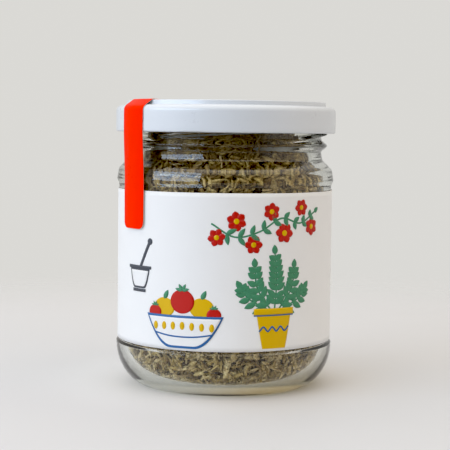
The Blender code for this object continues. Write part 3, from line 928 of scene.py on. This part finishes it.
def sprig(points, pairs, long, wide):
    """A twig through a few points with pairs of leaves, which get smaller towards its tip."""
    twig = bent(points, 14)
    yield "green", ink_shape(twig, 0.25, 1)
    for share in np.linspace(0.14, 0.95, pairs):
        here = int(share * (len(twig) - 2))
        ahead = twig[here + 1] - twig[here]
        lean = math.degrees(math.atan2(ahead[1], ahead[0]))
        for side in (-52, 52):
            yield "green", ink_leaf(twig[here], lean + side, long * (1.15 - 0.5 * share), wide)
    yield "green", ink_leaf(twig[-1], lean, long * 0.75, wide)


def print_garland():
    """A garland of red blossoms over the top right."""
    stem = [(-4.0, 52.5), (3.0, 48.6), (10.5, 50.2), (17.5, 54.0), (24.5, 52.4), (31.0, 55.5)]
    yield from sprig(stem, 9, 3.2, 1.5)
    for x, z, size, turn in (
        (-2.4, 48.4, 2.7, 10), (3.4, 53.2, 3.0, 40), (8.6, 46.3, 2.8, 0),
        (14.2, 56.0, 2.7, 25), (18.6, 49.6, 3.1, 55), (25.0, 57.0, 2.6, 5), (29.6, 51.2, 2.8, 30),
    ):
        yield from blossom((x, z), size, turn)


def print_pot():
    """A tall herb in a yellow pot, right of the middle."""
    centre, left, right = 15.5, 8.9, 22.1
    yield "yellow", ink_rise(centre, 15.4, 25.6, 7.6, 11.4, 0.9, 2)
    yield "yellow", ink_rule(left, right, 26.4, 1.0, 3)
    yield "blue", ink_line([(left, 25.3), (centre, 25.3), (right, 25.3)], 0.35, 4)
    yield "blue", ink_line([(centre - 4.9 + 1.4 * i, 20.6 + 1.3 * (i % 2)) for i in range(8)], 0.5, 4)
    for reach, top, bow, pairs in (
        (0.0, 43.4, 0.6, 8),
        (-6.4, 39.6, -2.0, 6),
        (6.8, 39.0, 2.2, 6),
        (-10.4, 33.4, -2.2, 5),
        (11.0, 32.6, 2.4, 5),
    ):
        foot = (centre + 0.2 * reach, 27.0)
        middle = (centre + 0.55 * reach + bow, (27.0 + top) / 2)
        yield from sprig([foot, middle, (centre + reach, top)], pairs, 3.8, 1.9)


def print_bowl():
    """A blue bowl of lemons and tomatoes, left of the middle."""
    centre = -12.5
    for x, z, across, tall in ((-18.6, 27.2, 7.2, 5.8), (-6.6, 27.4, 7.4, 6.0)):
        yield "yellow", ink_disc((x, z), across, tall)
        yield "green", ink_leaf((x, z + tall / 2 - 0.4), 64, 3.0, 1.5)
    for x, z, size in ((-12.6, 29.2, 7.6), (-21.9, 25.6, 4.6), (-2.9, 25.4, 4.4)):
        yield "red", ink_disc((x, z), size, size * 0.94, layer=3)
        for turn in (15, 62, 118, 165):
            yield "green", ink_leaf((x, z + size * 0.42), turn, size * 0.3, size * 0.13, layer=4)
    yield "blue", ink_rise(centre, 15.3, 25.0, 7.5, 25.0, 0.5, 5)
    yield "paper", ink_rise(centre, 16.0, 24.3, 6.7, 23.4, 0.5, 6)
    for i in range(7):
        yield "yellow", ink_disc((centre - 9.0 + 3.0 * i, 22.0 - 0.12 * abs(i - 3)), 1.5, 2.4, layer=7)
    band = [(-21.6, 19.6), (-17.0, 18.9), (-12.5, 18.7), (-8.0, 18.9), (-3.4, 19.6)]
    yield "blue", ink_line(band, 0.45, 7)


def print_mortar():
    """A small grey drawing of a pestle in a mortar, at the far left."""
    centre = -29.0
    yield "grey", ink_line([(centre + 0.6, 38.5), (centre + 2.6, 42.4), (centre + 4.4, 45.8)], 1.1, 1)
    yield "grey", ink_disc((centre + 4.7, 46.3), 2.0, 2.0)
    yield "grey", ink_rise(centre, 32.0, 38.2, 4.4, 9.4, 0.45, 2)
    yield "paper", ink_rise(centre, 32.6, 37.4, 3.6, 8.2, 0.45, 3)
    yield "grey", ink_rule(centre - 5.3, centre + 5.3, 38.4, 0.45, 4)
    yield "grey", ink_rule(centre - 3.0, centre + 3.0, 31.4, 0.45, 4)


def print_back():
    """A framed panel of plain rules behind on the right, and three sprigs behind on the left."""
    for x in (62.0, 92.0):
        yield "grey", ink_shape([(x, 21.0), (x, 55.0)], 0.15, 1)
    for z in (21.0, 49.5, 55.0):
        yield "grey", ink_rule(62.0, 92.0, z, 0.15, 1)
    for i in range(9):
        yield "grey", ink_rule(64.5, 88.5 - (i * 7) % 11, 46.4 - 2.8 * i, 0.28, 1)
    for x in (-58.0, -70.0, -82.0):
        yield from sprig([(x, 21.0), (x + 1.4, 33.0), (x - 0.5, 45.5)], 9, 4.0, 1.9)
        yield from blossom((x - 0.5, 50.0), 3.0, 12)


def merged(shapes):
    """Several (points, quads) shapes as one."""
    offsets = np.cumsum([0] + [len(points) for points, _ in shapes[:-1]])
    points = np.concatenate([points for points, _ in shapes])
    return points, np.concatenate([quads + offset for (_, quads), offset in zip(shapes, offsets)])


class THYME_OT_label(Operator):
    """Wrap the paper label round the jar and print its generic design"""

    bl_idname = "thyme.label"
    bl_label = "Label"

    def execute(self, context):
        settings = context.scene.thyme_label
        half = 180 - LABEL_OPEN_ANGLE / 2
        azimuth = np.linspace(-half, half, 241)[None, :]
        height = np.linspace(LABEL_BOTTOM, LABEL_TOP, 33)[:, None]
        front = LABEL_RADIUS + 0.02 * waves(np.radians(azimuth), height / 11, seed=12, highest=7) - 0.02
        sides = (round_axis(azimuth, radius, height) for radius in (front, front - LABEL_THICKNESS))
        paper = mesh_object("label_paper", *thick_grid(*sides))
        finish = grained("label_paper_finish", settings.paper, 0.02, 0.5, 0.3, 6, 0.01)
        finish_piece(paper, finish, "jar", "white_paper", "label")
        inks = {name: [] for name in ("red", "green", "yellow", "blue", "grey", "paper")}
        for motif in (print_garland, print_pot, print_bowl, print_mortar, print_back):
            for name, shape in motif():
                inks[name].append(shape)
        for name, shapes in inks.items():
            ink = mesh_object("label_ink_" + name, *merged(shapes))
            finish = grained("ink_" + name + "_finish", getattr(settings, name), 0.08, 0.45, 0.2, 5, 0.004)
            finish_piece(ink, finish, "jar", "white_paper")
        return {"FINISHED"}


def lid_skin(inset):
    """The lid's skin from its middle to its skirt: the upper face, or the underside at that inset."""
    rim_top = LID_TOP - inset
    centre_top = rim_top - CENTRE_DROP
    ledge = LID_TOP - LEDGE_DROP - inset
    outer = RIM_OUTER_RADIUS - inset
    return finer(rounded_path([
        (0.0, centre_top - BUTTON_DROP, 0),
        (BUTTON_RADIUS, centre_top - BUTTON_DROP, 1.5),
        (BUTTON_RADIUS + 1.2, centre_top, 1.0),
        (RIM_INNER_RADIUS - 0.8, centre_top, 0.5),
        (RIM_INNER_RADIUS, rim_top - RIM_DROP, 0.4),
        (outer - 0.8, rim_top, 1.2),
        (outer, rim_top - 0.1, 0.3),
        (outer + 0.1, ledge, 0.2),
        (LID_RADIUS - inset, ledge, LID_ROUNDING - inset),
        (LID_RADIUS - inset, LID_BOTTOM + CURL + 0.5, 0),
    ], steps=8), 2)


class THYME_OT_lid(Operator):
    """Press the lid with its rim, rolled edge and lugs, and lay the sealing ring in it"""

    bl_idname = "thyme.lid"
    bl_label = "Lid"

    def execute(self, context):
        settings = context.scene.thyme_lid
        roll = CURL / 2
        curl = arc((LID_RADIUS - roll, LID_BOTTOM + roll), (roll, roll), 0, -250, 24)
        profile = np.concatenate((lid_skin(0), curl, lid_skin(SHEET)[::-1]))[::-1]

        def shift(radius, height, azimuth):
            in_curl = (height < LID_BOTTOM + CURL + 0.1) & (radius < LID_RADIUS - 0.05)
            inwards = np.clip((LID_RADIUS - radius) / CURL, 0, 1) * in_curl
            for start in range(STARTS):
                pressed = smooth_step((LUG_HALF_WIDTH - np.abs(from_lug(azimuth, start, -180))) / LUG_FLANK)
                radius = radius - LUG_REACH * pressed * inwards**1.5
            return radius, height

        lid = turned("lid_tinplate", profile, 288, shift)
        enamel = grained("white_enamel_finish", settings.enamel, 0.015, 0.3, 0.8, 9, 0.006, coat=0.5)
        finish_piece(lid, enamel, "lid", "white_enamel", "lid_shell")

        top = LID_TOP - SHEET - 0.12
        ring = rounded_path([
            (28.6, top, 0),
            (27.0, top, 0.3),
            (27.2, top - 0.95, 0.35),
            (30.6, top - 0.85, 0.35),
            (30.7, top - 0.3, 0.2),
            (30.4, top, 0.1),
            (28.7, top, 0),
        ])
        gasket = turned("lid_sealing_ring", ring, 192, closed=True)
        compound = grained("sealing_compound_finish", settings.compound, 0.06, 0.55, 0.6, 5, 0.02)
        finish_piece(gasket, compound, "liner", "sealing_compound", "lid_gasket")
        return {"FINISHED"}


def strip_path():
    """The strip's inner face in profile, from its end on the lid over the edge to its end on the label."""
    on_rim = LID_TOP + 0.03
    on_bumper = BODY_RADIUS + 0.12
    return finer(rounded_path([
        (STRIP_INNER_END, on_rim - CENTRE_DROP, 0),
        (RIM_INNER_RADIUS - 1.2, on_rim - CENTRE_DROP, 2),
        (RIM_INNER_RADIUS + 0.6, on_rim - RIM_DROP, 2),
        (RIM_OUTER_RADIUS - 0.1, on_rim + 0.05, 1.0),
        (STRIP_SIDE, LID_TOP - LEDGE_DROP - 0.45 * LID_ROUNDING, LID_ROUNDING),
        (STRIP_SIDE, LID_BOTTOM + 0.4, 3),
        (on_bumper, CREST_HEIGHT, 6),
        (on_bumper, STRIP_LOWER_END, 0),
    ], steps=8), 0.8)


class THYME_OT_strip(Operator):
    """Lay the red seal strip over the lid's edge and down to the label"""

    bl_idname = "thyme.strip"
    bl_label = "Seal strip"

    def execute(self, context):
        settings = context.scene.thyme_strip
        path = strip_path()
        lengths = path_lengths(path)
        total = lengths[-1]
        ends = STRIP_CORNER * np.array([0, 0.02, 0.06, 0.13, 0.24, 0.38, 0.55, 0.76])
        distance = np.unique(np.concatenate((lengths, ends, total - ends)))
        place = on_path(path, distance)
        along = unit(np.gradient(place, distance, axis=0))
        inside = np.minimum(np.minimum(distance, total - distance), STRIP_CORNER)
        half = STRIP_WIDTH / 2 - STRIP_CORNER + np.sqrt(STRIP_CORNER**2 - (STRIP_CORNER - inside) ** 2)
        share = np.linspace(-1, 1, 25)[None, :]
        drift = 0.12 * waves(distance / 8, 0.0, seed=31, highest=3)
        offset = half[:, None] * share + drift[:, None]
        sag = STRIP_SIDE - np.sqrt(STRIP_SIDE**2 - offset**2)
        on_top = smooth_step((place[:, 1:] - LID_TOP + LEDGE_DROP) / LEDGE_DROP)
        crease = waves(share * 2, distance[:, None] / 7, seed=21, highest=3)
        relief = (0.06 - 0.05 * on_top) * (1 + crease)
        turn = math.radians(STRIP_AZIMUTH)

        def layer(lift):
            radius = place[:, :1] - along[:, 1:] * lift - sag
            height = place[:, 1:] + along[:, :1] * lift + 0 * offset
            x = offset * math.cos(turn) + radius * math.sin(turn)
            y = offset * math.sin(turn) - radius * math.cos(turn)
            return np.stack((x, y, height), axis=-1)[::-1]

        points, quads = thick_grid(layer(relief + STRIP_THICKNESS), layer(relief))
        strip = mesh_object("strip_paper", points, quads, tone=np.repeat([1.0, 0.0], len(points) // 2))
        finish = grained("red_paper_finish", settings.red, 0.06, 0.3, 0.35, 5, 0.01, specular=0.08)
        tree = finish.node_tree
        shader = tree.nodes["Principled BSDF"]
        printed = add_node(tree, "Attribute", attribute_name="tone")["Fac"]
        red = shader.inputs["Base Color"].links[0].from_socket
        feed(tree, shader, {"Base Color": mix_colours(tree, printed, settings.back, red)})
        finish_piece(strip, finish, "lid", "red_paper", "seal_strip")
        return {"FINISHED"}


def build_floor(settings):
    """A round floor. Its finish has a painted shadow under the jar and painted light round it, an emission
    that stands in for light coming through the jar, most on the window's side. It fades out far from the
    jar, where the backdrop shows."""
    azimuth = np.linspace(0, 360, FLOOR_COLUMNS, endpoint=False)[None, :]
    points = round_axis(azimuth, np.geomspace(20, 900, FLOOR_RINGS)[:, None], 0.0).reshape(-1, 3)
    quads = grid_quads(FLOOR_RINGS, FLOOR_COLUMNS, wrap_columns=True)[:, ::-1]
    middle = fan(FLOOR_COLUMNS, len(points), 0)[:, ::-1]
    floor = mesh_object("floor", np.concatenate((points, [[0.0, 0.0, 0.0]])), quads, middle)
    material, tree, shader = new_material("floor_finish")
    where = add_node(tree, "TexCoord")["Object"]
    reach = add_node(tree, "VectorMath", {0: where}, operation="LENGTH")["Value"]

    def ring(low, high):
        return between(tree, reach, low * MM, high * MM)

    mask = add_grain(tree, 1.2, 60, 0.8)[0]
    paint = add_ramp(tree, mask, [(0.3, [c * 0.985 for c in settings.floor]), (0.7, settings.floor)])
    # Painted light: emission round the jar, strongest on the window's side and warm on the far side
    to_window = add_node(tree, "VectorMath", {0: where, 1: (-0.97, -0.24, 0)}, operation="DOT_PRODUCT")
    lit_side = between(tree, to_window["Value"], -8 * MM, 26 * MM)
    near = ring(80, FOOT_RADIUS)
    painted_glow = compute(tree, "MULTIPLY_ADD", lit_side, settings.lit_painted_glow, settings.near_painted_glow)
    for share in (near, near, ring(FOOT_RADIUS + 1.5, FOOT_RADIUS + 3)):
        painted_glow = compute(tree, "MULTIPLY", painted_glow, share)
    # Painted light under the jar's foot, in a ring under the glass of its rim
    foot = settings.foot_painted_glow
    for share in (ring(FOOT_RADIUS + 2.5, FOOT_RADIUS + 1.5), ring(FOOT_RADIUS - 5, FOOT_RADIUS - 2)):
        foot = compute(tree, "MULTIPLY", share, foot)
    fade = {"Value": reach, "From Min": 0.16, "From Max": 0.34, "To Min": 1.0, "To Max": 0.0}
    # Painted shadow: under the jar the floor's colour drops to 0.35 of itself
    feed(tree, shader, {
        "Base Color": mix_colours(tree, ring(19, 23), [c * 0.35 for c in settings.floor], paint),
        "Roughness": 0.6,
        "Emission Strength": compute(tree, "ADD", painted_glow, foot),
        "Emission Color": mix_colours(tree, lit_side, settings.warm_painted_glow, settings.painted_glow),
        "Alpha": add_node(tree, "MapRange", fade, interpolation_type="SMOOTHSTEP")["Result"],
    })
    floor.data.materials.append(material)


def build_world(settings):
    """The room. The camera sees a plain backdrop. Other rays see the backdrop behind the jar, pale walls and
    a ceiling round it, and the dark end of the room in front, below the ceiling."""
    world = bpy.data.worlds.new("room")
    bpy.context.scene.world = world
    world.use_nodes = True
    tree = world.node_tree
    where = add_node(tree, "TexCoord")["Generated"]
    axes = add_node(tree, "SeparateXYZ", {"Vector": where})
    room = mix_colours(tree, between(tree, axes["X"], -0.9, 0.9), settings.left_light, settings.right_light)
    room = mix_colours(tree, between(tree, axes["Y"], 0.1, 0.7), room, settings.backdrop)
    in_front, below_ceiling = between(tree, axes["Y"], -0.5, -0.85), between(tree, axes["Z"], 0.7, 0.4)
    room = mix_colours(tree, compute(tree, "MULTIPLY", in_front, below_ceiling), room, settings.dark_end)
    walls = [settings.room_strength] * 3
    ceiling = [settings.room_strength * settings.ceiling_gain] * 3
    level = mix_colours(tree, between(tree, axes["Z"], 0.45, 0.9), walls, ceiling)
    room = mix_colours(tree, 1.0, room, level, "MULTIPLY")
    from_camera = add_node(tree, "LightPath")["Is Camera Ray"]
    feed(tree, tree.nodes["Background"], {"Color": mix_colours(tree, from_camera, room, settings.backdrop)})


def build_window(settings):
    """The window: a soft rectangular light that looks at the middle of the jar."""
    light = bpy.data.lights.new("window", "AREA")
    light.shape = "RECTANGLE"
    light.size, light.size_y = WINDOW_SIZE
    light.energy = settings.window_power
    light.color = settings.window_light
    window = bpy.data.objects.new("window", light)
    bpy.context.scene.collection.objects.link(window)
    rise = math.radians(WINDOW_ELEVATION)
    beside = round_axis(WINDOW_AZIMUTH, WINDOW_DISTANCE * math.cos(rise), WINDOW_DISTANCE * math.sin(rise))
    window.location = Vector(beside) + WINDOW_AIM
    window.rotation_euler = (WINDOW_AIM - window.location).to_track_quat("-Z", "Y").to_euler()


class THYME_OT_stage(Operator):
    """Make the floor, the backdrop, the window light and the camera"""

    bl_idname = "thyme.stage"
    bl_label = "Stage"

    def execute(self, context):
        scene = context.scene
        settings = scene.thyme_stage
        scene.view_settings.view_transform = "Standard"
        scene.view_settings.look = "None"
        scene.view_settings.use_curve_mapping = True
        scene.view_settings.curve_mapping.black_level = settings.black_level
        build_floor(settings)
        build_world(settings)
        build_window(settings)
        camera = bpy.data.cameras.new("camera")
        camera.lens = settings.lens
        camera.sensor_width = 36.0
        camera.clip_start = 0.01
        view = bpy.data.objects.new("camera", camera)
        scene.collection.objects.link(view)
        view.location = (-settings.camera_aside, -settings.camera_distance, settings.camera_height)
        pitch, roll = math.radians(90 - settings.camera_pitch), math.radians(settings.camera_roll)
        view.rotation_euler = (pitch, -roll, 0.0)
        scene.camera = view
        return {"FINISHED"}


class THYME_PT_panel(Panel):
    """Lists the builders and their settings"""

    bl_idname = "THYME_PT_panel"
    bl_label = "Jar of dried thyme"
    bl_space_type = "VIEW_3D"
    bl_region_type = "UI"
    bl_category = "Thyme jar"

    def draw(self, context):
        for name, (settings, operator) in BUILDERS.items():
            box = self.layout.box()
            box.operator(operator.bl_idname)
            for field in settings.__annotations__:
                box.prop(getattr(context.scene, "thyme_" + name), field)


BUILDERS = {
    "stage": (StageSettings, THYME_OT_stage),
    "glass": (GlassSettings, THYME_OT_glass),
    "herb": (HerbSettings, THYME_OT_herb),
    "label": (LabelSettings, THYME_OT_label),
    "lid": (LidSettings, THYME_OT_lid),
    "strip": (StripSettings, THYME_OT_strip),
}


def register():
    for name, (settings, operator) in BUILDERS.items():
        bpy.utils.register_class(settings)
        bpy.utils.register_class(operator)
        setattr(bpy.types.Scene, "thyme_" + name, PointerProperty(type=settings))
    bpy.utils.register_class(THYME_PT_panel)


def unregister():
    bpy.utils.unregister_class(THYME_PT_panel)
    for name, (settings, operator) in BUILDERS.items():
        delattr(bpy.types.Scene, "thyme_" + name)
        bpy.utils.unregister_class(operator)
        bpy.utils.unregister_class(settings)


def main():
    register()
    for name in BUILDERS:
        getattr(bpy.ops.thyme, name)()


if __name__ == "__main__":
    main()
